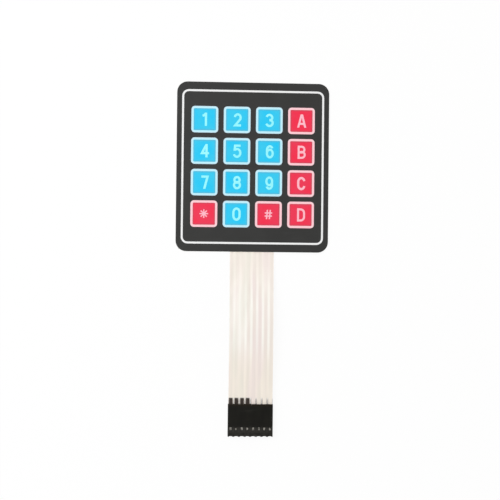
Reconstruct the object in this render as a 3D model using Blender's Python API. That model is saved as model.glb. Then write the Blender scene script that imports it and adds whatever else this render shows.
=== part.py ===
"""Membrane keypad: sixteen printed keys over a two-film switch circuit, with a flat tail
that ends in an eight-way 2.54 mm socket housing.

Frame: +Z out of the printed face, +X to the right and +Y towards the top row of keys.
Origin: middle of the release liner's outer face, which lies on the surface below.
Units: metres.
"""
import math

import bmesh
import bpy
import numpy as np
from mathutils import Vector
from mathutils.geometry import delaunay_2d_cdt

# Printed keys: the white frame's outer size, the black gap between frames, and the frame itself
KEY_COLUMNS = 4
KEY_ROWS = 4
KEY_WIDTH = 0.0122
KEY_HEIGHT = 0.01206
KEY_GAP_X = 0.00245
KEY_GAP_Y = 0.0022
KEY_CORNER_RADIUS = 0.0016
KEY_FRAME_WIDTH = 0.00105
KEY_FIELD_RADIUS = 0.00045

# Pad outline beyond the keys, and the thin white line round it
SIDE_MARGIN = 0.006525
END_MARGIN = 0.01103
PAD_CORNER_RADIUS = 0.0048
BORDER_SIDE_INSET = 0.00229
BORDER_END_INSET = 0.00349
BORDER_LINE_WIDTH = 0.0009
BORDER_CORNER_RADIUS = 0.003

# Layers, from the back to the front
LINER_THICKNESS = 0.0001
REAR_ADHESIVE_THICKNESS = 0.0001
CIRCUIT_FILM_THICKNESS = 0.000125
TRACE_THICKNESS = 0.00002
SPACER_THICKNESS = 0.00015
OVERLAY_ADHESIVE_THICKNESS = 0.00005
OVERLAY_THICKNESS = 0.0002
PRINT_THICKNESS = 0.00003

# Switch circuit: round contact areas in round spacer holes, and the printed lines to the tail
SPACER_HOLE_RADIUS = 0.0045
SWITCH_AREA_RADIUS = 0.0035
VENT_CHANNEL_WIDTH = 0.001
TRACE_WIDTH = 0.0006
TRACE_PITCH = 0.0014
TRACE_EDGE_INSET = 0.0016
BUS_PITCH = 0.0009
BUS_EDGE_INSET = 0.0014
TAIL_TRACE_WIDTH = 0.0015

# Tail: length along the film from the pad's edge to the housing, and its low arch
TAIL_LENGTH = 0.0689
TAIL_ARCH = 0.0024
TAIL_SIDE_INSET = 0.0002
SLIT_LENGTH = 0.0029
SLIT_WIDTH = 0.0002
CARBON_LENGTH = 0.0026
CARBON_OVERLAP = 0.00006
TIP_TRACE_INSET = 0.0001
TAIL_STEPS = 20

# Socket housing
WAY_PITCH = 0.00254
HOUSING_LENGTH = 0.0147
HOUSING_THICKNESS = 0.00254
HOUSING_CHAMFER = 0.00018
FRONT_WALL = 0.0016
PIN_HOLE = 0.0009
LEAD_IN_WIDTH = 0.0016
LEAD_IN_DEPTH = 0.0006
NOTCH_WIDTH = 0.0015
NOTCH_DEPTH = 0.0003
WINDOW_WIDTH = 0.0009
WINDOW_LENGTH = 0.0013
WINDOW_FROM_END = 0.0036
POCKET_WIDTH = 0.0014
POCKET_LENGTH = 0.0026
POCKET_DEPTH = 0.0002

# Folded sheet-metal contact, its crimp closed round one finger of film
CONTACT_WIDTH = 0.0017
CONTACT_HEIGHT = 0.0015
CONTACT_SHEET = 0.0002
CONTACT_SEAM = 0.00016
SOCKET_LENGTH = 0.006
NECK_LENGTH = 0.0015
NECK_WALL = 0.00055
CRIMP_LENGTH = 0.003
CLAW_GAP = 0.0002
LANCE_RISE = 0.0003
LANCE_WIDTH = 0.0006
SPRING_WIDTH = 0.0007
SPRING_PIN_GAP = 0.0007

# Clearances
CAVITY_SIDE_CLEARANCE = 0.00015
CAVITY_TOP_CLEARANCE = 0.0002
CONTACT_END_CLEARANCE = 0.00015
CRIMP_CLEARANCE = 0.00005
FINGER_STOP_CLEARANCE = 0.00005
FINGER_SIDE_CLEARANCE = 0.0001
FINGER_SHOULDER_DEPTH = 0.0005
FINGER_OVERRUN = 0.0003
LANCE_END_CLEARANCE = 0.0002

# Fineness of curves and the overlap that cutters and joined solids need
PAD_CORNER_STEPS = 10
KEY_CORNER_STEPS = 5
HALF_HOLE_STEPS = 12
SWITCH_AREA_STEPS = 20
SPRING_STEPS = 8
CUT_MARGIN = 0.001
JOIN_OVERLAP = 0.0003
PLAN_TOLERANCE = 1e-7
CUT_TOLERANCE = 1e-6

# Places that follow from the sizes above
KEY_PITCH_X = KEY_WIDTH + KEY_GAP_X
KEY_PITCH_Y = KEY_HEIGHT + KEY_GAP_Y
COLUMN_X = [(column - (KEY_COLUMNS - 1) / 2) * KEY_PITCH_X for column in range(KEY_COLUMNS)]
ROW_Y = [((KEY_ROWS - 1) / 2 - row) * KEY_PITCH_Y for row in range(KEY_ROWS)]
PAD_WIDTH = COLUMN_X[-1] - COLUMN_X[0] + KEY_WIDTH + 2 * SIDE_MARGIN
PAD_HEIGHT = ROW_Y[0] - ROW_Y[-1] + KEY_HEIGHT + 2 * END_MARGIN
PAD_EDGE_Y = -PAD_HEIGHT / 2

REAR_ADHESIVE_Z = LINER_THICKNESS
LOWER_FILM_Z = REAR_ADHESIVE_Z + REAR_ADHESIVE_THICKNESS
ROW_TRACE_Z = LOWER_FILM_Z + CIRCUIT_FILM_THICKNESS
SPACER_Z = ROW_TRACE_Z + TRACE_THICKNESS
COLUMN_TRACE_Z = SPACER_Z + SPACER_THICKNESS
UPPER_FILM_Z = COLUMN_TRACE_Z + TRACE_THICKNESS
OVERLAY_ADHESIVE_Z = UPPER_FILM_Z + CIRCUIT_FILM_THICKNESS
OVERLAY_Z = OVERLAY_ADHESIVE_Z + OVERLAY_ADHESIVE_THICKNESS
PRINT_Z = OVERLAY_Z + OVERLAY_THICKNESS
PRINT_TOP_Z = PRINT_Z + PRINT_THICKNESS
FILM_PAIR_THICKNESS = OVERLAY_ADHESIVE_Z - LOWER_FILM_Z
FILM_MIDDLE_Z = LOWER_FILM_Z + FILM_PAIR_THICKNESS / 2

WAYS = KEY_ROWS + KEY_COLUMNS
WAY_X = [(way - (WAYS - 1) / 2) * WAY_PITCH for way in range(WAYS)]
CAVITY_WIDTH = CONTACT_WIDTH + 2 * CAVITY_SIDE_CLEARANCE
CAVITY_HEIGHT = CONTACT_HEIGHT + 2 * CAVITY_TOP_CLEARANCE
FINGER_WIDTH = WAY_PITCH - SLIT_WIDTH
ENTRY_WIDTH = CAVITY_WIDTH - 2 * FINGER_SIDE_CLEARANCE
TIP_WIDTH = CONTACT_WIDTH - 2 * CONTACT_SHEET - 2 * CRIMP_CLEARANCE
TIP_TRACE_WIDTH = TIP_WIDTH - 2 * TIP_TRACE_INSET
CARBON_WIDTH = TAIL_TRACE_WIDTH + 2 * CARBON_OVERLAP
TAIL_WIDTH = WAYS * WAY_PITCH - 2 * TAIL_SIDE_INSET

PIN_Z = HOUSING_THICKNESS / 2
CONTACT_TOP_Z = PIN_Z + CONTACT_HEIGHT / 2
CONTACT_BOTTOM_Z = PIN_Z - CONTACT_HEIGHT / 2
FILM_ENTRY_Z = CONTACT_TOP_Z - CONTACT_SHEET - CRIMP_CLEARANCE - FILM_PAIR_THICKNESS / 2
CRIMP_BOTTOM_Z = FILM_ENTRY_Z - FILM_PAIR_THICKNESS / 2 - CRIMP_CLEARANCE - CONTACT_SHEET
CONTACT_FROM_REAR = HOUSING_LENGTH - FRONT_WALL - CONTACT_END_CLEARANCE
FINGER_INSERT = CONTACT_FROM_REAR - SOCKET_LENGTH - NECK_LENGTH + FINGER_OVERRUN

SLIT_START = TAIL_LENGTH - SLIT_LENGTH
CARBON_START = TAIL_LENGTH - CARBON_LENGTH
FINGER_STOP = TAIL_LENGTH - FINGER_STOP_CLEARANCE
SHOULDER = TAIL_LENGTH + FINGER_SHOULDER_DEPTH
FINGER_END = TAIL_LENGTH + FINGER_INSERT

KEY_NAMES = ["1", "2", "3", "a", "4", "5", "6", "b", "7", "8", "9", "c", "star", "0", "hash", "d"]

BLACK = (0.045, 0.045, 0.045)
BLUE = (0.035, 0.61, 0.95)
RED = (0.95, 0.045, 0.09)
WHITE = (0.88, 0.88, 0.87)
MILKY = (0.86, 0.84, 0.8)
SILVER = (0.62, 0.6, 0.57)
CARBON = (0.02, 0.02, 0.02)
PLATED = (0.78, 0.76, 0.72)
PAPER = (0.9, 0.86, 0.74)


def clear_scene():
    for old in list(bpy.data.objects):
        bpy.data.objects.remove(old)


def finish(name, colour, roughness, metallic=0.0):
    """A plain Principled material of one colour."""
    made = bpy.data.materials.new(name)
    made.use_nodes = True
    shader = made.node_tree.nodes["Principled BSDF"]
    shader.inputs["Base Color"].default_value = (*colour, 1.0)
    shader.inputs["Roughness"].default_value = roughness
    shader.inputs["Metallic"].default_value = metallic
    made.diffuse_color = (*colour, 1.0)
    return made


def place(name, shape, material):
    """Turns a bmesh into a named object in the scene."""
    bmesh.ops.recalc_face_normals(shape, faces=shape.faces)
    mesh = bpy.data.meshes.new(name)
    shape.to_mesh(mesh)
    shape.free()
    mesh.materials.append(material)
    made = bpy.data.objects.new(name, mesh)
    bpy.context.scene.collection.objects.link(made)
    return made


def arc(centre, radius, start, end, steps):
    """Points along an arc, both ends included; angles in radians."""
    angles = np.linspace(start, end, steps + 1)
    return [(centre[0] + radius * math.cos(a), centre[1] + radius * math.sin(a)) for a in angles]


def rectangle(left, bottom, right, top):
    return [(left, bottom), (right, bottom), (right, top), (left, top)]


def rounded_rectangle(centre, width, height, radius, steps):
    """Outline of a rectangle with round corners, anticlockwise from its right side."""
    points = []
    for quarter, (side_x, side_y) in enumerate(((1, 1), (-1, 1), (-1, -1), (1, -1))):
        corner = (
            centre[0] + side_x * (width / 2 - radius),
            centre[1] + side_y * (height / 2 - radius),
        )
        turn = quarter * math.pi / 2
        points += arc(corner, radius, turn, turn + math.pi / 2, steps)
    return points


def disc(centre, radius):
    return arc(centre, radius, 0, 2 * math.pi, SWITCH_AREA_STEPS)[:-1]


def flat_solid(low, high, solids, holes=()):
    """A flat piece between two heights: the union of the solid outlines, less the holes."""
    points = []
    loops = []
    for outline in [*solids, *holes]:
        loops.append(list(range(len(points), len(points) + len(outline))))
        points += [Vector(point) for point in outline]
    corners, _, faces, _, _, sources = delaunay_2d_cdt(points, [], loops, 1, PLAN_TOLERANCE)
    shape = bmesh.new()
    vertices = [shape.verts.new((corner.x, corner.y, low)) for corner in corners]
    for face, source in zip(faces, sources):
        if source and max(source) < len(solids):
            shape.faces.new([vertices[index] for index in face])
    loose = [vertex for vertex in shape.verts if not vertex.link_faces]
    bmesh.ops.delete(shape, geom=loose, context="VERTS")
    upper = bmesh.ops.extrude_face_region(shape, geom=shape.faces[:])["geom"]
    for vertex in (item for item in upper if isinstance(item, bmesh.types.BMVert)):
        vertex.co.z = high
    return shape


def prism(outline, start, end):
    """An outline in X and Z, extruded along Y."""
    shape = bmesh.new()
    face = shape.faces.new([shape.verts.new((x, start, z)) for x, z in outline])
    swept = bmesh.ops.extrude_face_region(shape, geom=[face])["geom"]
    for vertex in (item for item in swept if isinstance(item, bmesh.types.BMVert)):
        vertex.co.y = end
    bmesh.ops.recalc_face_normals(shape, faces=shape.faces)
    return shape


def cross_prism(outline, width):
    """An outline in Y and Z, extruded along X about X = 0."""
    shape = bmesh.new()
    face = shape.faces.new([shape.verts.new((-width / 2, y, z)) for y, z in outline])
    swept = bmesh.ops.extrude_face_region(shape, geom=[face])["geom"]
    for vertex in (item for item in swept if isinstance(item, bmesh.types.BMVert)):
        vertex.co.x = width / 2
    bmesh.ops.recalc_face_normals(shape, faces=shape.faces)
    return shape


def add_loft(shape, centre_x, centre_z, sections):
    """Adds a solid of rectangles (y, width, height), joined in turn along Y."""
    rings = []
    for y, width, height in sections:
        corners = rectangle(
            centre_x - width / 2, centre_z - height / 2, centre_x + width / 2, centre_z + height / 2
        )
        rings.append([shape.verts.new((x, y, z)) for x, z in corners])
    for near, far in zip(rings, rings[1:]):
        for side in range(4):
            after = (side + 1) % 4
            shape.faces.new((near[side], near[after], far[after], far[side]))
    shape.faces.new(rings[0][::-1])
    shape.faces.new(rings[-1])


def boolean(target, cutter, operation):
    """Leaves an exact Boolean on the target and hides the cutter."""
    modifier = target.modifiers.new(cutter.name, "BOOLEAN")
    modifier.operation = operation
    modifier.solver = "EXACT"
    modifier.object = cutter
    cutter.hide_render = True
    cutter.display_type = "WIRE"


def tail_route():
    """Stations along the tail: distance along the film, Y, Z of its middle, and its rise.

    The film leaves the pad level, arches a little and comes level again at the housing.
    """
    marks = [SLIT_START, CARBON_START, FINGER_STOP, FINGER_END]
    stations = np.array(sorted([*np.linspace(0, TAIL_LENGTH, TAIL_STEPS + 1), *marks]))
    share = np.minimum(stations / TAIL_LENGTH, 1.0)
    lift = FILM_ENTRY_Z - FILM_MIDDLE_Z
    heights = (
        FILM_MIDDLE_Z
        + lift * share**2 * (3 - 2 * share)
        + TAIL_ARCH * np.sin(math.pi * share) ** 2
    )
    rises = (
        lift * 6 * share * (1 - share) + TAIL_ARCH * math.pi * np.sin(2 * math.pi * share)
    ) / TAIL_LENGTH
    runs = np.sqrt(np.diff(stations) ** 2 - np.diff(heights) ** 2)
    across = PAD_EDGE_Y - np.concatenate([[0.0], np.cumsum(runs)])
    return stations, across, heights, rises


STATIONS, ROUTE_Y, ROUTE_Z, ROUTE_RISE = tail_route()
HOUSING_REAR_Y = float(np.interp(TAIL_LENGTH, STATIONS, ROUTE_Y))
MATING_Y = HOUSING_REAR_Y - HOUSING_LENGTH
CAVITY_FRONT_Y = MATING_Y + FRONT_WALL
CONTACT_FRONT_Y = CAVITY_FRONT_Y + CONTACT_END_CLEARANCE


def bend_tail(shape):
    """Cuts a flat piece across at every station, then lays its tail along the route."""
    for station in STATIONS:
        bmesh.ops.bisect_plane(
            shape,
            geom=shape.verts[:] + shape.edges[:] + shape.faces[:],
            dist=CUT_TOLERANCE,
            plane_co=(0, PAD_EDGE_Y - station, 0),
            plane_no=(0, 1, 0),
        )
    for vertex in shape.verts:
        along = PAD_EDGE_Y - vertex.co.y
        if along <= CUT_TOLERANCE:
            continue
        offset = vertex.co.z - FILM_MIDDLE_Z
        rise = np.interp(along, STATIONS, ROUTE_RISE)
        vertex.co.y = np.interp(along, STATIONS, ROUTE_Y) + offset * rise
        vertex.co.z = np.interp(along, STATIONS, ROUTE_Z) + offset * math.sqrt(1 - rise**2)
    return shape


def tail_strip(centre_x, width, start, end):
    """A straight strip in plan, between two distances along the tail."""
    return rectangle(centre_x - width / 2, PAD_EDGE_Y - end, centre_x + width / 2, PAD_EDGE_Y - start)


def pad_outline():
    return rounded_rectangle((0, 0), PAD_WIDTH, PAD_HEIGHT, PAD_CORNER_RADIUS, PAD_CORNER_STEPS)


def line_outline(outset):
    """The white border line's inner edge, or a rectangle outset from it."""
    inner_width = PAD_WIDTH - 2 * (BORDER_SIDE_INSET + BORDER_LINE_WIDTH)
    inner_height = PAD_HEIGHT - 2 * (BORDER_END_INSET + BORDER_LINE_WIDTH)
    radius = BORDER_CORNER_RADIUS - BORDER_LINE_WIDTH + outset
    return rounded_rectangle(
        (0, 0), inner_width + 2 * outset, inner_height + 2 * outset, radius, KEY_CORNER_STEPS
    )


def key_outline(centre, inset, radius):
    return rounded_rectangle(
        centre, KEY_WIDTH - 2 * inset, KEY_HEIGHT - 2 * inset, radius, KEY_CORNER_STEPS
    )


def key_centres():
    return [(x, y) for y in ROW_Y for x in COLUMN_X]


def pad_sheet(name, low, thickness, material):
    """A die-cut sheet of the pad's own outline."""
    place(name, flat_solid(low, low + thickness, [pad_outline()]), material)


def build_prints(black, blue, red):
    """Ink on the overlay's face: the white frames and line are the overlay between the inks."""
    margin = flat_solid(PRINT_Z, PRINT_TOP_Z, [pad_outline()], [line_outline(BORDER_LINE_WIDTH)])
    place("black_print_margin", margin, black)
    windows = [key_outline(centre, 0, KEY_CORNER_RADIUS) for centre in key_centres()]
    field = flat_solid(PRINT_Z, PRINT_TOP_Z, [line_outline(0)], windows)
    place("black_print_field", field, black)
    for name, centre in zip(KEY_NAMES, key_centres()):
        outline = key_outline(centre, KEY_FRAME_WIDTH, KEY_FIELD_RADIUS)
        ink = blue if name.isdigit() else red
        place(f"key_print_{name}", flat_solid(PRINT_Z, PRINT_TOP_Z, [outline]), ink)


def circuit_film(name, low, ways, material):
    """A film of the pad's outline with the full tail, and its own fingers past the slits.

    Each finger is full width up to the housing, then narrows for the cavity and the crimp.
    """
    outlines = [pad_outline(), tail_strip(0, TAIL_WIDTH, -PAD_CORNER_RADIUS, SLIT_START)]
    for way in ways:
        steps = (
            (FINGER_WIDTH, SLIT_START, FINGER_STOP),
            (ENTRY_WIDTH, FINGER_STOP, SHOULDER),
            (TIP_WIDTH, SHOULDER, FINGER_END),
        )
        for width, start, end in steps:
            left = max(WAY_X[way] - width / 2, -TAIL_WIDTH / 2)
            right = min(WAY_X[way] + width / 2, TAIL_WIDTH / 2)
            outlines.append(tail_strip((left + right) / 2, right - left, start - JOIN_OVERLAP, end))
    shape = flat_solid(low, low + CIRCUIT_FILM_THICKNESS, outlines)
    place(name, bend_tail(shape), material)


def vented_column(x):
    """One column of round holes joined by narrow vent channels, as one closed outline."""
    mouth = math.asin(VENT_CHANNEL_WIDTH / 2 / SPACER_HOLE_RADIUS)
    side = []
    for row, y in enumerate(ROW_Y):
        top = math.pi / 2 - (mouth if row > 0 else 0)
        bottom = -math.pi / 2 + (mouth if row < KEY_ROWS - 1 else 0)
        side += arc((0, y), SPACER_HOLE_RADIUS, top, bottom, HALF_HOLE_STEPS)
    return [(x - px, py) for px, py in side] + [(x + px, py) for px, py in side[-2:0:-1]]


def build_spacer(material):
    outlines = [pad_outline(), tail_strip(0, TAIL_WIDTH, -PAD_CORNER_RADIUS, SLIT_START)]
    holes = [vented_column(x) for x in COLUMN_X]
    shape = flat_solid(SPACER_Z, SPACER_Z + SPACER_THICKNESS, outlines, holes)
    place("circuit_spacer", bend_tail(shape), material)


def line_between(start, end):
    """A printed line of the circuit's width, square at both ends, along X or along Y."""
    half = TRACE_WIDTH / 2
    low_x, high_x = sorted((start[0], end[0]))
    low_y, high_y = sorted((start[1], end[1]))
    return rectangle(low_x - half, low_y - half, high_x + half, high_y + half)


def trace_tail(way, bus_y):
    """A trace's run from its bus down the tail, narrower where the crimp holds the film."""
    bus_distance = PAD_EDGE_Y - bus_y - TRACE_WIDTH / 2
    return [
        tail_strip(WAY_X[way], TAIL_TRACE_WIDTH, bus_distance, SHOULDER),
        tail_strip(WAY_X[way], TIP_TRACE_WIDTH, SHOULDER - JOIN_OVERLAP, FINGER_END),
    ]


def build_row_traces(material):
    """Each row's line runs to the left margin, down it and across to its own way of the tail."""
    for row, y in enumerate(ROW_Y):
        margin_x = -PAD_WIDTH / 2 + TRACE_EDGE_INSET + row * TRACE_PITCH
        bus_y = PAD_EDGE_Y + BUS_EDGE_INSET + row * BUS_PITCH
        outlines = [disc((x, y), SWITCH_AREA_RADIUS) for x in COLUMN_X]
        outlines.append(line_between((margin_x, y), (COLUMN_X[-1], y)))
        outlines.append(line_between((margin_x, bus_y), (margin_x, y)))
        outlines.append(line_between((margin_x, bus_y), (WAY_X[row], bus_y)))
        outlines += trace_tail(row, bus_y)
        shape = flat_solid(ROW_TRACE_Z, ROW_TRACE_Z + TRACE_THICKNESS, outlines)
        place(f"row_trace_{row + 1}", bend_tail(shape), material)


def build_column_traces(material):
    """Each column's line runs down through its keys and across to its own way of the tail."""
    for column, x in enumerate(COLUMN_X):
        way = KEY_ROWS + column
        bus_y = PAD_EDGE_Y + BUS_EDGE_INSET + column * BUS_PITCH
        outlines = [disc((x, y), SWITCH_AREA_RADIUS) for y in ROW_Y]
        outlines.append(line_between((x, bus_y), (x, ROW_Y[0])))
        outlines.append(line_between((x, bus_y), (WAY_X[way], bus_y)))
        outlines += trace_tail(way, bus_y)
        shape = flat_solid(COLUMN_TRACE_Z, COLUMN_TRACE_Z + TRACE_THICKNESS, outlines)
        place(f"column_trace_{column + 1}", bend_tail(shape), material)


def build_carbon_tips(material):
    """Black carbon over the traces' ends and a little past their sides.

    It lies on top of the row traces and under the column traces.
    """
    for way, x in enumerate(WAY_X):
        low = SPACER_Z if way < KEY_ROWS else COLUMN_TRACE_Z - TRACE_THICKNESS
        outlines = [
            tail_strip(x, CARBON_WIDTH, CARBON_START, SHOULDER),
            tail_strip(x, TIP_TRACE_WIDTH, SHOULDER - JOIN_OVERLAP, FINGER_END),
        ]
        shape = flat_solid(low, low + TRACE_THICKNESS, outlines)
        place(f"carbon_tip_{way + 1}", bend_tail(shape), material)


def build_housing(material):
    """Moulded housing: stepped cavities right through it, and a window over each contact.

    Every window opens in the floor of a shallow pocket, and a notch marks every pin hole.
    """
    width = WAYS * WAY_PITCH
    body = bmesh.new()
    add_loft(
        body,
        0,
        PIN_Z,
        [(MATING_Y, width, HOUSING_THICKNESS), (HOUSING_REAR_Y, width, HOUSING_THICKNESS)],
    )
    bmesh.ops.bevel(
        body, geom=body.edges[:], offset=HOUSING_CHAMFER, segments=1, affect="EDGES"
    )
    housing = place("connector_housing", body, material)
    cores = bmesh.new()
    windows = bmesh.new()
    pockets = bmesh.new()
    notches = bmesh.new()
    notch_floor_y = MATING_Y + NOTCH_DEPTH
    window_y = MATING_Y + WINDOW_FROM_END
    pocket_height = POCKET_DEPTH + CUT_MARGIN
    for x in WAY_X:
        add_loft(
            cores,
            x,
            PIN_Z,
            [
                (HOUSING_REAR_Y + CUT_MARGIN, CAVITY_WIDTH, CAVITY_HEIGHT),
                (CAVITY_FRONT_Y, CAVITY_WIDTH, CAVITY_HEIGHT),
                (CAVITY_FRONT_Y, PIN_HOLE, PIN_HOLE),
                (notch_floor_y + LEAD_IN_DEPTH, PIN_HOLE, PIN_HOLE),
                (notch_floor_y, LEAD_IN_WIDTH, LEAD_IN_WIDTH),
                (MATING_Y - CUT_MARGIN, LEAD_IN_WIDTH, LEAD_IN_WIDTH),
            ],
        )
        add_loft(
            windows,
            x,
            (PIN_Z + HOUSING_THICKNESS + CUT_MARGIN) / 2,
            [
                (window_y - WINDOW_LENGTH / 2, WINDOW_WIDTH, HOUSING_THICKNESS / 2 + CUT_MARGIN),
                (window_y + WINDOW_LENGTH / 2, WINDOW_WIDTH, HOUSING_THICKNESS / 2 + CUT_MARGIN),
            ],
        )
        add_loft(
            pockets,
            x,
            HOUSING_THICKNESS - POCKET_DEPTH + pocket_height / 2,
            [
                (window_y - POCKET_LENGTH / 2, POCKET_WIDTH, pocket_height),
                (window_y + POCKET_LENGTH / 2, POCKET_WIDTH, pocket_height),
            ],
        )
        add_loft(
            notches,
            x,
            PIN_Z,
            [
                (MATING_Y - CUT_MARGIN, NOTCH_WIDTH, HOUSING_THICKNESS + 2 * CUT_MARGIN),
                (notch_floor_y, NOTCH_WIDTH, HOUSING_THICKNESS + 2 * CUT_MARGIN),
            ],
        )
    cutters = {"cavities": cores, "windows": windows, "pockets": pockets, "notches": notches}
    for name, cutter in cutters.items():
        boolean(housing, place(f"cutter_{name}", cutter, material), "DIFFERENCE")


def folded_profile(bottom, gap):
    """A strip folded down both sides from its back and in again below, with a gap between."""
    outer = CONTACT_WIDTH / 2
    inner = outer - CONTACT_SHEET
    floor = bottom + CONTACT_SHEET
    ceiling = CONTACT_TOP_Z - CONTACT_SHEET
    return [
        (outer, CONTACT_TOP_Z),
        (-outer, CONTACT_TOP_Z),
        (-outer, bottom),
        (-gap / 2, bottom),
        (-gap / 2, floor),
        (-inner, floor),
        (-inner, ceiling),
        (inner, ceiling),
        (inner, floor),
        (gap / 2, floor),
        (gap / 2, bottom),
        (outer, bottom),
    ]


def neck_profile():
    """The strip's back with two short side walls."""
    outer = CONTACT_WIDTH / 2
    inner = outer - CONTACT_SHEET
    ceiling = CONTACT_TOP_Z - CONTACT_SHEET
    bottom = CONTACT_TOP_Z - NECK_WALL
    return [
        (outer, CONTACT_TOP_Z),
        (-outer, CONTACT_TOP_Z),
        (-outer, bottom),
        (-inner, bottom),
        (-inner, ceiling),
        (inner, ceiling),
        (inner, bottom),
        (outer, bottom),
    ]


def lance_profile():
    """The locking lance: a tongue cut in the back and bent up into the housing's window."""
    front = MATING_Y + WINDOW_FROM_END - WINDOW_LENGTH / 2 + LANCE_END_CLEARANCE
    back = MATING_Y + WINDOW_FROM_END + WINDOW_LENGTH / 2 - LANCE_END_CLEARANCE
    root_z = CONTACT_TOP_Z - CONTACT_SHEET / 2
    return [
        (front, root_z),
        (front, CONTACT_TOP_Z),
        (back, CONTACT_TOP_Z + LANCE_RISE),
        (back, root_z),
    ]


def spring_profile():
    """The spring that presses on the pin: a bow of sheet below the back."""
    ceiling = CONTACT_TOP_Z - CONTACT_SHEET
    root_z = CONTACT_TOP_Z - CONTACT_SHEET / 2
    depth = ceiling - (PIN_Z + SPRING_PIN_GAP / 2)
    start = CONTACT_FRONT_Y + SOCKET_LENGTH / 4
    end = CONTACT_FRONT_Y + SOCKET_LENGTH * 3 / 4
    bow = []
    for share in np.linspace(0, 1, SPRING_STEPS + 1):
        bow.append((start + share * (end - start), ceiling - depth * math.sin(math.pi * share)))
    return [(end, root_z), (start, root_z), *bow]


def build_contacts(material):
    """Eight alike contacts: a folded socket for a square pin, a neck, and the film's crimp."""
    socket_end = CONTACT_FRONT_Y + SOCKET_LENGTH
    neck_end = socket_end + NECK_LENGTH
    crimp_end = neck_end + CRIMP_LENGTH
    socket = place(
        "contact_blank",
        prism(folded_profile(CONTACT_BOTTOM_Z, CONTACT_SEAM), CONTACT_FRONT_Y, socket_end),
        material,
    )
    joined = {
        "neck": prism(neck_profile(), socket_end - JOIN_OVERLAP, neck_end + JOIN_OVERLAP),
        "crimp": prism(folded_profile(CRIMP_BOTTOM_Z, CLAW_GAP), neck_end, crimp_end),
        "lance": cross_prism(lance_profile(), LANCE_WIDTH),
        "spring": cross_prism(spring_profile(), SPRING_WIDTH),
    }
    for name, shape in joined.items():
        boolean(socket, place(f"contact_{name}", shape, material), "UNION")
    bpy.context.view_layer.update()
    whole = socket.evaluated_get(bpy.context.evaluated_depsgraph_get())
    mesh = bpy.data.meshes.new_from_object(whole)
    mesh.name = "socket_contact"
    for helper in [socket, *(item.object for item in socket.modifiers)]:
        bpy.data.objects.remove(helper)
    for way, x in enumerate(WAY_X):
        contact = bpy.data.objects.new(f"socket_contact_{way + 1}", mesh)
        contact.location.x = x
        bpy.context.scene.collection.objects.link(contact)


def main():
    clear_scene()
    black = finish("black ink", BLACK, 0.5)
    blue = finish("blue ink", BLUE, 0.45)
    red = finish("red ink", RED, 0.45)
    white_film = finish("white polyester film", WHITE, 0.4)
    circuit = finish("milky circuit film", MILKY, 0.35)
    tape = finish("clear adhesive", MILKY, 0.6)
    silver = finish("silver ink", SILVER, 0.5, 0.4)
    carbon = finish("carbon ink", CARBON, 0.7)
    moulding = finish("black moulding", BLACK, 0.45)
    plated = finish("plated sheet metal", PLATED, 0.3, 1.0)
    paper = finish("liner paper", PAPER, 0.7)

    pad_sheet("release_liner", 0, LINER_THICKNESS, paper)
    pad_sheet("rear_adhesive", REAR_ADHESIVE_Z, REAR_ADHESIVE_THICKNESS, tape)
    circuit_film("lower_circuit_film", LOWER_FILM_Z, range(KEY_ROWS), circuit)
    build_row_traces(silver)
    build_spacer(tape)
    build_column_traces(silver)
    circuit_film("upper_circuit_film", UPPER_FILM_Z, range(KEY_ROWS, WAYS), circuit)
    build_carbon_tips(carbon)
    pad_sheet("overlay_adhesive", OVERLAY_ADHESIVE_Z, OVERLAY_ADHESIVE_THICKNESS, tape)
    pad_sheet("graphic_overlay", OVERLAY_Z, OVERLAY_THICKNESS, white_film)
    build_prints(black, blue, red)
    build_housing(moulding)
    build_contacts(plated)


main()
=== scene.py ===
import math

import bmesh
import bpy
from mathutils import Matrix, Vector
from mathutils.geometry import delaunay_2d_cdt


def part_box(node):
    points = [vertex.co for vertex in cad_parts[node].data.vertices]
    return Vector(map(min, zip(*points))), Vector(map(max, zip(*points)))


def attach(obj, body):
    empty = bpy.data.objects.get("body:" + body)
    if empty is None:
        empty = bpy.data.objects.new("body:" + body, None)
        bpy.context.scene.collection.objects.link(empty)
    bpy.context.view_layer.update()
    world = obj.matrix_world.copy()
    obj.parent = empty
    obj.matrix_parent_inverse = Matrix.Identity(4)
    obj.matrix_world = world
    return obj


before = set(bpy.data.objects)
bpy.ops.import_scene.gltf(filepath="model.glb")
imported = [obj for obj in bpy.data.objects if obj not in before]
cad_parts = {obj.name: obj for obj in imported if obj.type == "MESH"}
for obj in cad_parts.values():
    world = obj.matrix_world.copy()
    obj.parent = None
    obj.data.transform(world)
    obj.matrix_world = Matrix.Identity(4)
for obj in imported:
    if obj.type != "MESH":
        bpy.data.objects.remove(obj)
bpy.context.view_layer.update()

MM = 0.001

# The sixteen keys, row by row from the top left, as their nodes name them, and their pitch in mm
KEYS = ["1", "2", "3", "a", "4", "5", "6", "b", "7", "8", "9", "c", "star", "0", "hash", "d"]
KEY_PITCH_X = 14.65
KEY_PITCH_Y = 14.26

# The key frames' tints begin and are full at these distances from the key's middle, in pitches
FRAME_CORNER = (0.31, 0.38)
FRAME_OUTSIDE = (0.37, 0.41)

# Photograph's viewpoint, fitted to the keys, the pad's edges and the housing's corners
CAMERA_PLACE = (-0.0333, -0.0474, 0.5347)
CAMERA_TURN_DEGREES = (1.014, -3.488, 0.602)
CAMERA_LENS_MM = 85
CAMERA_SENSOR_MM = 36

# Legends, in millimetres: capital height, the strokes of the pens, the ink's thickness, how far
# right of its key's middle a legend is printed, and the point about which a six becomes a nine
CAP_HEIGHT = 6.05
PEN = 1.02
LETTER_PEN = 0.92
STAR_PEN = 0.55
HASH_PEN = 0.62
LEGEND_THICKNESS = 0.012
LEGEND_SHIFT = 0.15
NINE_MIDDLE = 0.14

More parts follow.
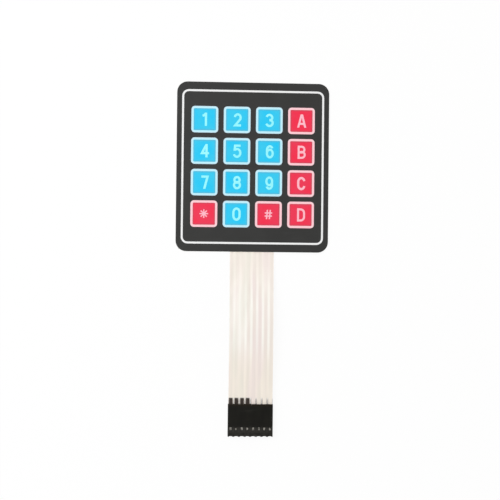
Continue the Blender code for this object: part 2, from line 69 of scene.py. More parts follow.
# Half the capital height, to its edge and to the pen's middle, and half a round letter's width
CAP_EDGE = CAP_HEIGHT / 2
TOP = (CAP_HEIGHT - PEN) / 2
SIDE = 1.4

# How finely curves are drawn, where a stroke's corner stops growing sharper (as the cosine of
# half its turn), and how near two corners are when they become one, in metres
BOW_STEP_DEGREES = 12
SHARPEST_CORNER = 0.4
PLAN_TOLERANCE = 1e-8

# Tail, in millimetres: the traces' bands under the film, and the painted shadow between the fingers at
# its end
BAND_PITCH = 2.58
BAND_WIDTH = 1.5
BAND_BLUR = 0.34
FINGER_PITCH = 2.54
FINGER_WIDTH = 1.86
FINGER_BLUR = 0.2

# Places along the tail and the housing (Y, in millimetres), each as where something shows first
# and where it shows in full
# ARCH_FOOT: where painted shade on the tail gives way towards the arch; ARCH_LOWER_SIDE and
# ARCH_UPPER_SIDE: where a painted sheen lies on the arch's crest
ARCH_FOOT = (-100, -74)
ARCH_LOWER_SIDE = (-90, -77)
ARCH_UPPER_SIDE = (-42, -64)
# FINGERS: where the painted shadow between the fingers rises
FINGERS = (-103.9, -105.7)
WARM_REAR = (-108.7, -107.2)
RUBBED_END = (-116.3, -118.5)
WINDOWS_REAR = (-117.2, -118.0)
WINDOWS_FRONT = (-120.3, -119.5)

# Studio, in metres: the floor, and the softbox
FLOOR_SIZE = 6.0
FLOOR_DROP = 0.02 * MM
LAMP_PLACE = (-0.55, 0.2, 0.7)
LAMP_AIM = (0, -0.03, 0)
LAMP_SIZE = 0.7
LAMP_WATTS = 5.35

# Share of the floor's own shading that is seen, and the world's light: full up to the walls' top,
# then dimmer up to the ceiling, both as the height of the ray's direction
FLOOR_SHADOW_SHARE = 0.08
WALL_TO_CEILING = (0.3, 0.85)
CEILING_STRENGTH = 0.4


def linear(red, green, blue):
    """A colour given as it shows on screen, from 0 to 255, as Blender's linear values."""
    shares = [value / 255 for value in (red, green, blue)]
    return tuple(
        share / 12.92 if share <= 0.04045 else ((share + 0.055) / 1.055) ** 2.4 for share in shares
    ) + (1.0,)


# Node building


def fill(tree, socket, value):
    """Links an input to another node's output, or sets it to a value."""
    if isinstance(value, bpy.types.NodeSocket):
        tree.links.new(value, socket)
    else:
        socket.default_value = value


def add(tree, kind, inputs=(), **settings):
    """A new node with its settings and its inputs."""
    made = tree.nodes.new(kind)
    for name, value in settings.items():
        setattr(made, name, value)
    for name, value in dict(inputs).items():
        fill(tree, made.inputs[name], value)
    return made


def maths(tree, operation, *values):
    return add(tree, "ShaderNodeMath", enumerate(values), operation=operation).outputs[0]


def remap(tree, value, span, onto=(0.0, 1.0)):
    """Smoothly carries one span of values onto another, held at both ends."""
    names = ("Value", "From Min", "From Max", "To Min", "To Max")
    values = (value, *span, *onto)
    made = add(tree, "ShaderNodeMapRange", zip(names, values), interpolation_type="SMOOTHSTEP")
    return made.outputs[0]


def rise(tree, value, places, most=1.0):
    """Rises from 0 at the first of two places, in millimetres, to its most at the second."""
    first, last = places
    return remap(tree, value, (first * MM, last * MM), (0.0, most))


def blend_colours(tree, share, first, second):
    """Mixes two colours: the first at share 0, the second at share 1."""
    made = add(tree, "ShaderNodeMix", data_type="RGBA")
    for socket, value in ((0, share), (6, first), (7, second)):
        fill(tree, made.inputs[socket], value)
    return made.outputs[2]


def object_place(tree):
    """The point being shaded, in the object's own metres."""
    return add(tree, "ShaderNodeTexCoord").outputs["Object"]


def split(tree, vector):
    return add(tree, "ShaderNodeSeparateXYZ", {0: vector}).outputs


def stretch(tree, vector, share):
    """Squeezes places along Y, so that a pattern made from them is drawn out that way."""
    return add(tree, "ShaderNodeMapping", {"Vector": vector, "Scale": (1, share, 1)}).outputs[0]


def noise(tree, vector, per_metre, detail=2.0, roughness=0.5):
    inputs = {"Vector": vector, "Scale": per_metre, "Detail": detail, "Roughness": roughness}
    return add(tree, "ShaderNodeTexNoise", inputs).outputs["Fac"]


def new_group(name, inputs, outputs):
    """A shader node group with named inputs and outputs; returns its tree and two end nodes."""
    tree = bpy.data.node_groups.new(name, "ShaderNodeTree")
    for label, kind, value in inputs:
        socket = tree.interface.new_socket(label, in_out="INPUT", socket_type=kind)
        socket.default_value = value
    for label, kind in outputs:
        tree.interface.new_socket(label, in_out="OUTPUT", socket_type=kind)
    return tree, tree.nodes.new("NodeGroupInput").outputs, tree.nodes.new("NodeGroupOutput").inputs


def place_group(tree, group, **values):
    """Puts a group in a material; an input's name has its spaces written as underscores."""
    made = add(tree, "ShaderNodeGroup", node_tree=group)
    for label, value in values.items():
        fill(tree, made.inputs[label.replace("_", " ")], value)
    return made.outputs


# Shared effects


FLOAT = "NodeSocketFloat"
COLOUR = "NodeSocketColor"


def make_grain_group():
    """Fine pebble of a matt film or a moulded skin, with a slow drift in how matt it is."""
    inputs = [("Grains per metre", FLOAT, 6000.0), ("Roughness", FLOAT, 0.5), ("Drift", FLOAT, 0.05)]
    tree, given, result = new_group("fine grain", inputs, [("Height", FLOAT), ("Roughness", FLOAT)])
    place = object_place(tree)
    pebble = noise(tree, place, given["Grains per metre"], 3.0, 0.6)
    slow = noise(tree, place, 55.0)
    swing = maths(tree, "MULTIPLY", maths(tree, "SUBTRACT", slow, 0.5), given["Drift"])
    rough = maths(tree, "ADD", given["Roughness"], maths(tree, "MULTIPLY", swing, 2.0))
    fill(tree, result["Height"], pebble)
    fill(tree, result["Roughness"], rough)
    return tree


def make_ink_group():
    """Screen-printed ink: a slow drift in tone, and the faint print of the mesh it came through."""
    inputs = [
        ("Full ink", COLOUR, (0.5, 0.5, 0.5, 1.0)),
        ("Thin ink", COLOUR, (0.6, 0.6, 0.6, 1.0)),
        ("Mesh print", FLOAT, 0.3),
    ]
    tree, given, result = new_group("screen ink", inputs, [("Colour", COLOUR)])
    place = object_place(tree)
    slow = remap(tree, noise(tree, place, 120.0), (0.35, 0.65))
    fine = remap(tree, noise(tree, place, 2600.0), (0.4, 0.7))
    mesh = maths(tree, "MULTIPLY", fine, given["Mesh print"])
    share = maths(tree, "ADD", maths(tree, "MULTIPLY", slow, 0.45), mesh)
    colour = blend_colours(tree, share, given["Full ink"], given["Thin ink"])
    fill(tree, result["Colour"], colour)
    return tree


def make_rim_group():
    """Mask of the denser ink that a print leaves along the four sides of its field."""
    tree, given, result = new_group("ink rim", [("Rim share", FLOAT, 0.2)], [("Rim", FLOAT)])
    across = split(tree, add(tree, "ShaderNodeTexCoord").outputs["Generated"])
    reach = []
    for side in ("X", "Y"):
        centred = maths(tree, "SUBTRACT", across[side], 0.5)
        reach.append(maths(tree, "MULTIPLY", maths(tree, "ABSOLUTE", centred), 2.0))
    nearest = maths(tree, "MAXIMUM", *reach)
    start = maths(tree, "SUBTRACT", 1.0, given["Rim share"])
    fill(tree, result["Rim"], remap(tree, nearest, (start, 1.0)))
    return tree


def make_handling_group():
    """Mask of sparse tiny specks and of faint wiping marks, as handling leaves them."""
    inputs = [("Specks", FLOAT, 0.5), ("Wipes", FLOAT, 0.3)]
    tree, given, result = new_group("handling marks", inputs, [("Mask", FLOAT)])
    place = object_place(tree)
    cells = add(tree, "ShaderNodeTexVoronoi", {"Vector": place, "Scale": 420.0, "Randomness": 1.0})
    rare = maths(tree, "GREATER_THAN", noise(tree, place, 160.0, 1.0), 0.6)
    dots = remap(tree, cells.outputs["Distance"], (0.03, 0.07), (1.0, 0.0))
    specks = maths(tree, "MULTIPLY", maths(tree, "MULTIPLY", dots, rare), given["Specks"])
    inputs = {"Vector": place, "Rotation": (0, 0, 0.6), "Scale": (1, 9, 1)}
    drawn = add(tree, "ShaderNodeMapping", inputs).outputs[0]
    wipes = remap(tree, noise(tree, drawn, 60.0, 4.0, 0.65), (0.55, 0.8))
    total = maths(tree, "ADD", specks, maths(tree, "MULTIPLY", wipes, given["Wipes"]))
    fill(tree, result["Mask"], maths(tree, "MINIMUM", total, 1.0))
    return tree


def make_key_zone_group():
    """Masks over the pad: the zones of blue and of red keys, and each frame's corners and outside.

    Places are counted in key pitches from the middle of the pad, so that the keys' own borders
    fall on whole numbers. All of the last column is red, and the last row too, but for the nought.
    """
    outputs = [(name, FLOAT) for name in ("Blue", "Red", "Corner", "Outside")]
    tree, _, result = new_group("key zones", [], outputs)
    place = split(tree, object_place(tree))
    across = maths(tree, "DIVIDE", place["X"], KEY_PITCH_X * MM)
    down = maths(tree, "DIVIDE", place["Y"], -KEY_PITCH_Y * MM)
    reach = maths(tree, "MAXIMUM", *(maths(tree, "ABSOLUTE", way) for way in (across, down)))
    pad = maths(tree, "LESS_THAN", reach, 2.0)
    last_column = maths(tree, "GREATER_THAN", across, 1.0)
    last_row = maths(tree, "GREATER_THAN", down, 1.0)
    from_nought = maths(tree, "ABSOLUTE", maths(tree, "ADD", across, 0.5))
    off_nought = maths(tree, "GREATER_THAN", from_nought, 0.5)
    red = maths(tree, "MAXIMUM", last_column, maths(tree, "MULTIPLY", last_row, off_nought))
    blue = maths(tree, "SUBTRACT", 1.0, red)
    from_key = []
    for way in (across, down):
        centred = maths(tree, "SUBTRACT", maths(tree, "FRACT", way), 0.5)
        from_key.append(maths(tree, "ABSOLUTE", centred))
    corner = maths(tree, "MULTIPLY", *(remap(tree, way, FRAME_CORNER) for way in from_key))
    outside = remap(tree, maths(tree, "MAXIMUM", *from_key), FRAME_OUTSIDE)
    fill(tree, result["Blue"], maths(tree, "MULTIPLY", pad, blue))
    fill(tree, result["Red"], maths(tree, "MULTIPLY", pad, red))
    fill(tree, result["Corner"], corner)
    fill(tree, result["Outside"], outside)
    return tree


def make_band_group():
    """Mask of equal bands that lie side by side across the tail and run along it."""
    inputs = [("Pitch", FLOAT, 2.5 * MM), ("Width", FLOAT, 1.5 * MM), ("Blur", FLOAT, 0.3 * MM)]
    tree, given, result = new_group("bands along the tail", inputs, [("Band", FLOAT)])
    place = split(tree, object_place(tree))
    ways = maths(tree, "DIVIDE", place["X"], given["Pitch"])
    off_middle = maths(tree, "ABSOLUTE", maths(tree, "SUBTRACT", maths(tree, "FRACT", ways), 0.5))
    distance = maths(tree, "MULTIPLY", off_middle, given["Pitch"])
    edge = maths(tree, "MULTIPLY", given["Width"], 0.5)
    inner = maths(tree, "SUBTRACT", edge, given["Blur"])
    outer = maths(tree, "ADD", edge, given["Blur"])
    fill(tree, result["Band"], remap(tree, distance, (inner, outer), (1.0, 0.0)))
    return tree


fine_grain = make_grain_group()
screen_ink = make_ink_group()
ink_rim = make_rim_group()
handling_marks = make_handling_group()
key_zones = make_key_zone_group()
tail_bands = make_band_group()


# Materials


def new_material(name):
    """A material, its node tree and the inputs of its Principled shader."""
    made = bpy.data.materials.new(name)
    made.use_nodes = True
    return made, made.node_tree, made.node_tree.nodes["Principled BSDF"].inputs


def put_ink(tree, full, thin, mesh):
    """The colour of a printed or cast layer that is thinner in places."""
    made = place_group(tree, screen_ink, Full_ink=full, Thin_ink=thin, Mesh_print=mesh)
    return made["Colour"]


def put_marks(tree, colour, specks, wipes, strength, tint):
    """Lays the pale marks of handling over a colour."""
    mask = place_group(tree, handling_marks, Specks=specks, Wipes=wipes)["Mask"]
    return blend_colours(tree, maths(tree, "MULTIPLY", mask, strength), colour, tint)


def put_grain(tree, shader, per_metre, rough, drift, depth_mm, strength):
    """Gives a shader fine grain: roughness that drifts, and a bump of the given depth."""
    inputs = {"Grains_per_metre": per_metre, "Roughness": rough, "Drift": drift}
    skin = place_group(tree, fine_grain, **inputs)
    fill(tree, shader["Roughness"], skin["Roughness"])
    inputs = {"Height": skin["Height"], "Strength": strength, "Distance": depth_mm * MM}
    bump = add(tree, "ShaderNodeBump", inputs)
    fill(tree, shader["Normal"], bump.outputs["Normal"])


def printed_ink(name, full, thin, rim=None):
    """Ink on the overlay's fine matt face. A field with a rim has it denser along its sides."""
    made, tree, shader = new_material(name)
    colour = put_ink(tree, full, thin, mesh=0.25)
    if rim:
        mask = place_group(tree, ink_rim)["Rim"]
        colour = blend_colours(tree, mask, colour, rim)
    tint = linear(200, 198, 194)
    colour = put_marks(tree, colour, specks=0.25, wipes=0.1, strength=0.12, tint=tint)
    fill(tree, shader["Base Color"], colour)
    fill(tree, shader["Specular IOR Level"], 0.4)
    put_grain(tree, shader, per_metre=5200.0, rough=0.46, drift=0.05, depth_mm=0.02, strength=0.35)
    return made


def white_film():
    """The overlay's own white polyester: the border line, and the frames that the inks tint."""
    made, tree, shader = new_material("white overlay film")
    colour = put_ink(tree, linear(243, 243, 243), linear(236, 237, 238), mesh=0.2)
    zones = place_group(tree, key_zones)
    pale_blue = blend_colours(tree, zones["Outside"], linear(189, 243, 255), linear(199, 231, 245))
    pale_blue = blend_colours(tree, zones["Corner"], pale_blue, linear(208, 235, 249))
    pale_red = blend_colours(tree, zones["Corner"], linear(255, 205, 213), linear(250, 218, 222))
    colour = blend_colours(tree, zones["Blue"], colour, pale_blue)
    colour = blend_colours(tree, zones["Red"], colour, pale_red)
    fill(tree, shader["Base Color"], colour)
    put_grain(tree, shader, per_metre=5200.0, rough=0.48, drift=0.04, depth_mm=0.02, strength=0.3)
    return made


def legend_ink(name, full, thin):
    """White printed digits and letters, thin enough for the colour below to tint them."""
    made, tree, shader = new_material(name)
    fill(tree, shader["Base Color"], put_ink(tree, full, thin, mesh=0.45))
    put_grain(tree, shader, per_metre=5200.0, rough=0.5, drift=0.04, depth_mm=0.015, strength=0.3)
    return made


def milky_colour_and_sheen(tree, place, along):
    """The film's colour: paler between the traces under it, with a painted sheen on the tail's arch and
    painted shade at the housing end.
    """
    # Painted light along the tail: shade towards the housing end, and a sheen on the arch's crest
    foot = rise(tree, along, ARCH_FOOT)
    lower_side = rise(tree, along, ARCH_LOWER_SIDE)
    arch_sheen = maths(tree, "MULTIPLY", lower_side, rise(tree, along, ARCH_UPPER_SIDE))
    between = blend_colours(tree, foot, linear(249, 240, 228), linear(252, 243, 234))
    between = blend_colours(tree, arch_sheen, between, linear(255, 252, 245))
    over_trace = blend_colours(tree, foot, linear(241, 232, 221), linear(243, 233, 224))
    over_trace = blend_colours(tree, arch_sheen, over_trace, linear(240, 230, 222))
    sizes = {"Pitch": BAND_PITCH * MM, "Width": BAND_WIDTH * MM, "Blur": BAND_BLUR * MM}
    bands = place_group(tree, tail_bands, **sizes)["Band"]
    uneven = noise(tree, stretch(tree, place, 0.25), 130.0)
    bands = maths(tree, "MULTIPLY", bands, remap(tree, uneven, (0.36, 0.6), (0.4, 1.0)))
    return blend_colours(tree, bands, between, over_trace)


def tail_film():
    """Milky polyester over printed traces, cut into fingers in front of the housing, with painted
    shadow along the slits.
    """
    made, tree, shader = new_material("milky circuit film")
    place = object_place(tree)
    along = split(tree, place)["Y"]
    colour = milky_colour_and_sheen(tree, place, along)
    hue = noise(tree, stretch(tree, place, 0.15), 210.0, 1.0)
    rosy = remap(tree, hue, (0.5, 0.66), (0.0, 0.3))
    colour = blend_colours(tree, rosy, colour, linear(243, 224, 227))
    greenish = remap(tree, hue, (0.34, 0.5), (0.3, 0.0))
    colour = blend_colours(tree, greenish, colour, linear(230, 230, 216))
    sizes = {"Pitch": FINGER_PITCH * MM, "Width": FINGER_WIDTH * MM, "Blur": FINGER_BLUR * MM}
    # Painted shadow along the slits between the fingers, where the floor under them lies in shade
    between_fingers = maths(tree, "SUBTRACT", 1.0, place_group(tree, tail_bands, **sizes)["Band"])
    slit_shadow = maths(tree, "MULTIPLY", rise(tree, along, FINGERS), between_fingers)
    colour = blend_colours(tree, slit_shadow, colour, linear(92, 76, 62))
    drawn = noise(tree, stretch(tree, place, 0.02), 900.0, 3.0)
    streaks = remap(tree, drawn, (0.35, 0.7), (0.0, 0.1))
    colour = blend_colours(tree, streaks, colour, linear(214, 204, 192))
    fill(tree, shader["Base Color"], colour)
    fill(tree, shader["Coat Weight"], 0.15)
    fill(tree, shader["Coat Roughness"], 0.2)
    put_grain(tree, shader, per_metre=3200.0, rough=0.38, drift=0.06, depth_mm=0.01, strength=0.2)
    return made


def adhesive_film():
    """Milky acrylic adhesive, seen only as a thin line at the edges."""
    made, tree, shader = new_material("acrylic adhesive")
    colour = put_ink(tree, linear(226, 220, 206), linear(236, 232, 222), mesh=0.5)
    fill(tree, shader["Base Color"], colour)
    put_grain(tree, shader, per_metre=1500.0, rough=0.55, drift=0.1, depth_mm=0.03, strength=0.4)
    return made


def silver_ink():
    """Silver-filled ink of the traces: fine flake in a dull binder."""
    made, tree, shader = new_material("silver trace ink")
    flake = remap(tree, noise(tree, object_place(tree), 9000.0, 3.0), (0.4, 0.65))
    colour = blend_colours(tree, flake, linear(178, 175, 170), linear(212, 210, 206))
    fill(tree, shader["Base Color"], colour)
    fill(tree, shader["Metallic"], remap(tree, flake, (0.0, 1.0), (0.35, 0.75)))
    put_grain(tree, shader, per_metre=8000.0, rough=0.45, drift=0.08, depth_mm=0.01, strength=0.4)
    return made


def carbon_ink():
    """Dull black carbon over the ends of the traces."""
    made, tree, shader = new_material("carbon contact ink")
    fill(tree, shader["Base Color"], put_ink(tree, linear(44, 34, 27), linear(64, 51, 43), mesh=0.5))
    put_grain(tree, shader, per_metre=7000.0, rough=0.62, drift=0.08, depth_mm=0.02, strength=0.5)
    return made


def black_moulding():
    """Moulded nylon of the housing, with the fine skin of the tool and faint flow marks.

    Its mating end is rubbed a little paler, where it is handled and plugged in, and it is
    paler again in a band along the row of windows.
    """
    made, tree, shader = new_material("black moulded nylon")
    place = object_place(tree)
    along = split(tree, place)["Y"]
    flow = remap(tree, noise(tree, stretch(tree, place, 0.3), 420.0, 3.0, 0.6), (0.3, 0.75))
    colour = blend_colours(tree, flow, linear(12, 11, 6), linear(18, 17, 11))
    smudge = remap(tree, noise(tree, place, 900.0, 3.0, 0.6), (0.4, 0.64), (0.3, 0.9))
    rubbed = maths(tree, "MULTIPLY", rise(tree, along, RUBBED_END), smudge)
    colour = blend_colours(tree, rubbed, colour, linear(40, 39, 35))
    rear = rise(tree, along, WINDOWS_REAR, most=0.75)
    windows = maths(tree, "MULTIPLY", rise(tree, along, WINDOWS_FRONT), rear)
    colour = blend_colours(tree, windows, colour, linear(47, 46, 42))
    warm = rise(tree, along, WARM_REAR, most=0.8)
    colour = blend_colours(tree, warm, colour, linear(27, 18, 5))
    tint = linear(170, 166, 158)
    colour = put_marks(tree, colour, specks=0.6, wipes=0.4, strength=0.08, tint=tint)
    fill(tree, shader["Base Color"], colour)
    fill(tree, shader["Specular IOR Level"], 0.22)
    put_grain(tree, shader, per_metre=4200.0, rough=0.42, drift=0.1, depth_mm=0.02, strength=0.45)
    return made


def tinned_metal():
    """Tin-plated sheet of the contacts, with fine rolling lines and dull patches of tarnish and painted
    shade.
    """
    made, tree, shader = new_material("tin-plated sheet")
    place = object_place(tree)
    # Dark patches: partly tarnish, partly painted shade far darker than tin, so the contacts glint only
    # in places
    tarnish_and_shade = remap(tree, noise(tree, place, 700.0, 3.0), (0.42, 0.6))
    colour = blend_colours(tree, tarnish_and_shade, linear(214, 210, 202), linear(72, 69, 62))
    fill(tree, shader["Base Color"], colour)
    fill(tree, shader["Roughness"], remap(tree, tarnish_and_shade, (0.0, 1.0), (0.22, 0.4)))
    fill(tree, shader["Metallic"], 1.0)
    lines = noise(tree, stretch(tree, place, 0.05), 6000.0)
    bump = add(tree, "ShaderNodeBump", {"Height": lines, "Strength": 0.25, "Distance": 0.01 * MM})
    fill(tree, shader["Normal"], bump.outputs["Normal"])
    return made


def liner_paper():
    """Siliconed paper on the back: warm white, faintly cloudy and fibrous."""
    made, tree, shader = new_material("siliconed liner paper")
    place = object_place(tree)
    clouds = remap(tree, noise(tree, place, 210.0, 5.0, 0.7), (0.35, 0.7), (0.0, 0.5))
    fibres = remap(tree, noise(tree, place, 2400.0, 3.0, 0.6), (0.4, 0.7), (0.0, 0.5))
    share = maths(tree, "ADD", clouds, fibres)
    colour = blend_colours(tree, share, linear(237, 230, 211), linear(229, 221, 200))
    fill(tree, shader["Base Color"], colour)
    put_grain(tree, shader, per_metre=2600.0, rough=0.42, drift=0.1, depth_mm=0.02, strength=0.3)
    return made


# Legends, in millimetres about the middle of the key


def bow(middle, reach, start, end):
    """Points along part of an ellipse, from one angle to another in degrees."""
    steps = max(2, math.ceil(abs(end - start) / BOW_STEP_DEGREES))
    points = []
    for step in range(steps + 1):
        turn = math.radians(start + (end - start) * step / steps)
        points.append((middle[0] + reach[0] * math.cos(turn), middle[1] + reach[1] * math.sin(turn)))
    return points


def high_bow(x, wide, tall, start, end):
    """A bow that touches the top of the capitals."""
    return bow((x, TOP - tall), (wide, tall), start, end)


def low_bow(x, wide, tall, start, end):
    """A bow that touches the foot of the capitals."""
    return bow((x, tall - TOP), (wide, tall), start, end)


def stroke(points, pen=PEN, closed=False):
    """The pen's line along some points, as one four-sided piece for each stretch."""
    points = [Vector(point) for point in points]
    if closed:
        points = points[:-1]
    count = len(points)
    edges = []
    for index, point in enumerate(points):
        ways = []
        if index or closed:
            ways.append((point - points[index - 1]).normalized())
        if index < count - 1 or closed:
            ways.append((points[(index + 1) % count] - point).normalized())
        way = sum(ways, Vector((0, 0))).normalized()
        normal = Vector((-way.y, way.x))
        reach = pen / 2 / max(SHARPEST_CORNER, normal.dot(Vector((-ways[0].y, ways[0].x))))
        edges.append((point + normal * reach, point - normal * reach))
    if closed:
        edges.append(edges[0])
    return [[near[1], far[1], far[0], near[0]] for near, far in zip(edges, edges[1:])]


def slab(foot, head, pen=PEN):
    """A straight leaning stroke whose two ends are cut level."""
    foot, head = Vector(foot), Vector(head)
    half = Vector((pen / 2 * (head - foot).length / (head - foot).y, 0))
    return [[foot - half, foot + half, head + half, head - half]]


def post(x, pen=PEN):
    """An upright stroke of the capitals' full height."""
    return slab((x, -CAP_EDGE), (x, CAP_EDGE), pen)


def half_turn(pieces, middle):
    """Turns pieces upside down about a point to the right of the key's middle."""
    about = Vector((2 * middle, 0))
    return [[about - point for point in piece] for piece in pieces]


def draw_digits():
    nought = high_bow(0, SIDE, 1.75, 0, 180) + low_bow(0, SIDE, 1.75, 180, 360)
    three = stroke(high_bow(-0.12, 1.3, 1.25, 165, -90)) + stroke(low_bow(-0.08, 1.46, 1.36, 90, -165))
    five = stroke([(1.55, TOP), (-0.95, TOP), (-1.2, 0.2)])
    five += stroke(low_bow(-0.05, 1.5, 1.76, 138, -158))
    six = stroke(low_bow(0.2, 1.3, 1.72, 0, 360), closed=True)
    six += stroke([(-1.1, 1.72 - TOP)] + high_bow(0.2, 1.3, 1.75, 180, 28))
    eight = stroke(high_bow(0.08, 1.18, 1.27, 0, 360), closed=True)
    eight += stroke(low_bow(0.08, 1.34, 1.4, 0, 360), closed=True)
    return {
        "0": stroke(nought + nought[:1], closed=True),
        "1": post(0.35) + stroke([(-1.2, 1.6), (-0.35, 1.9), (0.3, 2.75)]),
        "2": stroke(high_bow(0.1, 1.32, 1.5, 172, -30) + [(-1.02, -TOP), (1.6, -TOP)]),
        "3": three,
        "4": post(0.78) + stroke([(0.6, 2.6), (-1.3, -1.1), (1.9, -1.1)]),
        "5": five,
        "6": six,
        "7": stroke([(-1.45, TOP), (1.6, TOP)]) + slab((-0.1, -CAP_EDGE), (1.5, CAP_EDGE)),
        "8": eight,
        "9": half_turn(six, NINE_MIDDLE),
    }


def draw_letters():
    legs = slab((-1.62, -CAP_EDGE), (-0.06, CAP_EDGE), LETTER_PEN)
    legs += slab((1.62, -CAP_EDGE), (0.06, CAP_EDGE), LETTER_PEN)
    waist = (-1.3, TOP - 2.6)
    upper = [(-1.3, TOP)] + high_bow(0.1, 1.25, 1.3, 90, -90) + [waist]
    lower = [waist] + low_bow(0.15, 1.32, 1.35, 90, -90) + [(-1.3, -TOP)]
    right = high_bow(-0.1, 1.55, 1.7, 90, 0) + low_bow(-0.1, 1.55, 1.7, 0, -90)
    return {
        "a": legs + stroke([(-1.15, -1.3), (1.15, -1.3)], LETTER_PEN),
        "b": post(-1.3, LETTER_PEN) + stroke(upper, LETTER_PEN) + stroke(lower, LETTER_PEN),
        "c": stroke(high_bow(0.05, SIDE, 1.75, 12, 180) + low_bow(0.05, SIDE, 1.75, 180, 348)),
        "d": post(-1.3, LETTER_PEN) + stroke([(-1.3, TOP)] + right + [(-1.3, -TOP)], LETTER_PEN),
    }


def draw_signs():
    arms = []
    for turn in range(0, 180, 45):
        tip = Vector((math.cos(math.radians(turn)), math.sin(math.radians(turn)))) * 1.95
        arms += stroke([-tip, tip], STAR_PEN)
    bars = stroke([(-1.65, 0.7), (1.7, 0.7)], HASH_PEN) + stroke([(-1.7, -0.7), (1.65, -0.7)], HASH_PEN)
    posts = slab((-0.85, -2.1), (-0.45, 2.1), HASH_PEN) + slab((0.45, -2.1), (0.85, 2.1), HASH_PEN)
    return {"star": arms, "hash": bars + posts}


def join_pieces(pieces):
    """The corners and the faces of one flat shape, joined from pieces that overlap."""
    points = []
    loops = []
    for piece in pieces:
        loops.append(list(range(len(points), len(points) + len(piece))))
        points += piece
    corners, _, faces, _, _, sources = delaunay_2d_cdt(points, [], loops, 1, PLAN_TOLERANCE)
    return corners, [face for face, source in zip(faces, sources) if source]


def make_legend(key, pieces, shift, material):
    """A thin solid of white ink on its key, joined from the pen's strokes."""
    low, high = (Vector(corner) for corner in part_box(f"key_print_{key}"))
    middle = (low + high).xy / 2 + Vector((shift * MM, 0))
    placed = [[middle + point * MM for point in piece] for piece in pieces]
    corners, faces = join_pieces(placed)
    shape = bmesh.new()
    vertices = [shape.verts.new((corner.x, corner.y, high.z)) for corner in corners]
    for face in faces:
        shape.faces.new([vertices[index] for index in face])
    loose = [vertex for vertex in shape.verts if not vertex.link_faces]
    bmesh.ops.delete(shape, geom=loose, context="VERTS")
    raised = bmesh.ops.extrude_face_region(shape, geom=shape.faces[:])["geom"]
    for vertex in (item for item in raised if isinstance(item, bmesh.types.BMVert)):
        vertex.co.z = high.z + LEGEND_THICKNESS * MM
    bmesh.ops.recalc_face_normals(shape, faces=shape.faces)
    mesh = bpy.data.meshes.new(f"legend_{key}")
    shape.to_mesh(mesh)
    shape.free()
    mesh.materials.append(material)
    legend = bpy.data.objects.new(f"legend_{key}", mesh)
    bpy.context.scene.collection.objects.link(legend)
    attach(legend, "root")


def print_legends():
    on_blue = legend_ink("white ink over blue", linear(158, 250, 255), linear(136, 242, 253))
    on_red = legend_ink("white ink over red", linear(255, 194, 207), linear(255, 178, 193))
    signs = draw_signs()
    glyphs = draw_digits() | draw_letters() | signs
    for key in KEYS:
        shift = 0 if key in signs else LEGEND_SHIFT
        make_legend(key, glyphs[key], shift, on_blue if key.isdigit() else on_red)


# Dressing the frame


def dress(material, *prefixes):
    """Gives a material to every node whose name starts with one of these words."""
    for name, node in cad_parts.items():
        if name.startswith(prefixes):
            node.data.materials.clear()
            node.data.materials.append(material)


def dress_keypad():
    charcoal = printed_ink("charcoal overlay ink", linear(42, 42, 41), linear(47, 47, 46))
    rim = linear(80, 184, 217)
    blue = printed_ink("blue key ink", linear(10, 200, 247), linear(62, 204, 237), rim)
    rim = linear(208, 64, 86)
    red = printed_ink("red key ink", linear(245, 34, 71), linear(232, 58, 90), rim)
    dress(charcoal, "black_print")
    for key in KEYS:
        dress(blue if key.isdigit() else red, f"key_print_{key}")
    dress(white_film(), "graphic_overlay")
    dress(tail_film(), "upper_circuit_film", "lower_circuit_film")
    dress(adhesive_film(), "overlay_adhesive", "rear_adhesive", "circuit_spacer")
    dress(silver_ink(), "row_trace", "column_trace")
    dress(carbon_ink(), "carbon_tip")
    dress(black_moulding(), "connector_housing")
    dress(tinned_metal(), "socket_contact")
    dress(liner_paper(), "release_liner")


# Studio


def seen_directly(tree):
    """1 for rays that come from the camera, a mirror or glass, and 0 for the light's own."""
    path = add(tree, "ShaderNodeLightPath").outputs
    both = maths(tree, "MAXIMUM", path["Is Camera Ray"], path["Is Glossy Ray"])
    return maths(tree, "MAXIMUM", both, path["Is Transmission Ray"])


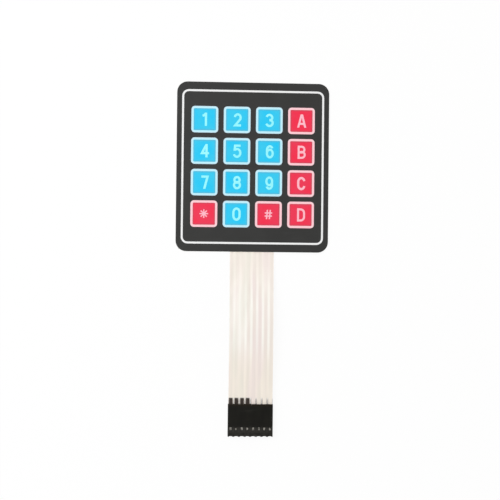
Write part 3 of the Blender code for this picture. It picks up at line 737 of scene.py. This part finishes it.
def floor_paper():
    """Shows white, with only a small share of its own shading."""
    made = bpy.data.materials.new("white studio floor")
    made.use_nodes = True
    tree = made.node_tree
    tree.nodes.clear()
    paper = add(tree, "ShaderNodeBsdfDiffuse", {"Color": (0.95, 0.95, 0.95, 1.0)})
    glow = add(tree, "ShaderNodeEmission", {"Color": (1.0, 1.0, 1.0, 1.0), "Strength": 1.0})
    share = maths(tree, "MULTIPLY", seen_directly(tree), 1.0 - FLOOR_SHADOW_SHARE)
    inputs = {0: share, 1: paper.outputs[0], 2: glow.outputs[0]}
    mixed = add(tree, "ShaderNodeMixShader", inputs)
    add(tree, "ShaderNodeOutputMaterial", {"Surface": mixed.outputs[0]})
    return made


def make_floor():
    """A pale floor that shows white and keeps a soft trace of the object's shadow."""
    mesh = bpy.data.meshes.new("floor")
    half = FLOOR_SIZE / 2
    corners = [(-half, -half), (half, -half), (half, half), (-half, half)]
    mesh.from_pydata([(x, y, -FLOOR_DROP) for x, y in corners], [], [(0, 1, 2, 3)])
    mesh.materials.append(floor_paper())
    floor = bpy.data.objects.new("floor", mesh)
    bpy.context.scene.collection.objects.link(floor)


def make_world():
    """White studio walls all round, under a darker ceiling."""
    world = bpy.data.worlds.new("studio")
    bpy.context.scene.world = world
    world.use_nodes = True
    tree = world.node_tree
    sky = tree.nodes["Background"].inputs
    fill(tree, sky["Color"], (1.0, 0.99, 0.975, 1.0))
    height = split(tree, add(tree, "ShaderNodeTexCoord").outputs["Generated"])["Z"]
    strength = remap(tree, height, WALL_TO_CEILING, (1.0, CEILING_STRENGTH))
    fill(tree, sky["Strength"], strength)


def make_softbox():
    """A square soft lamp above and to the left of the pad, which it faces."""
    data = bpy.data.lights.new("softbox", "AREA")
    data.size = LAMP_SIZE
    data.energy = LAMP_WATTS
    data.color = (0.97, 0.985, 1.0)
    lamp = bpy.data.objects.new("softbox", data)
    lamp.location = LAMP_PLACE
    way = Vector(LAMP_AIM) - Vector(LAMP_PLACE)
    lamp.rotation_euler = way.to_track_quat("-Z", "Y").to_euler()
    bpy.context.scene.collection.objects.link(lamp)


def make_camera():
    data = bpy.data.cameras.new("camera")
    data.lens = CAMERA_LENS_MM
    data.sensor_width = CAMERA_SENSOR_MM
    data.clip_start = 0.01
    camera = bpy.data.objects.new("camera", data)
    camera.location = CAMERA_PLACE
    camera.rotation_euler = [math.radians(turn) for turn in CAMERA_TURN_DEGREES]
    bpy.context.scene.collection.objects.link(camera)
    bpy.context.scene.camera = camera


make_camera()
dress_keypad()
print_legends()
make_floor()
make_world()
make_softbox()
bpy.context.scene.view_settings.view_transform = "Standard"
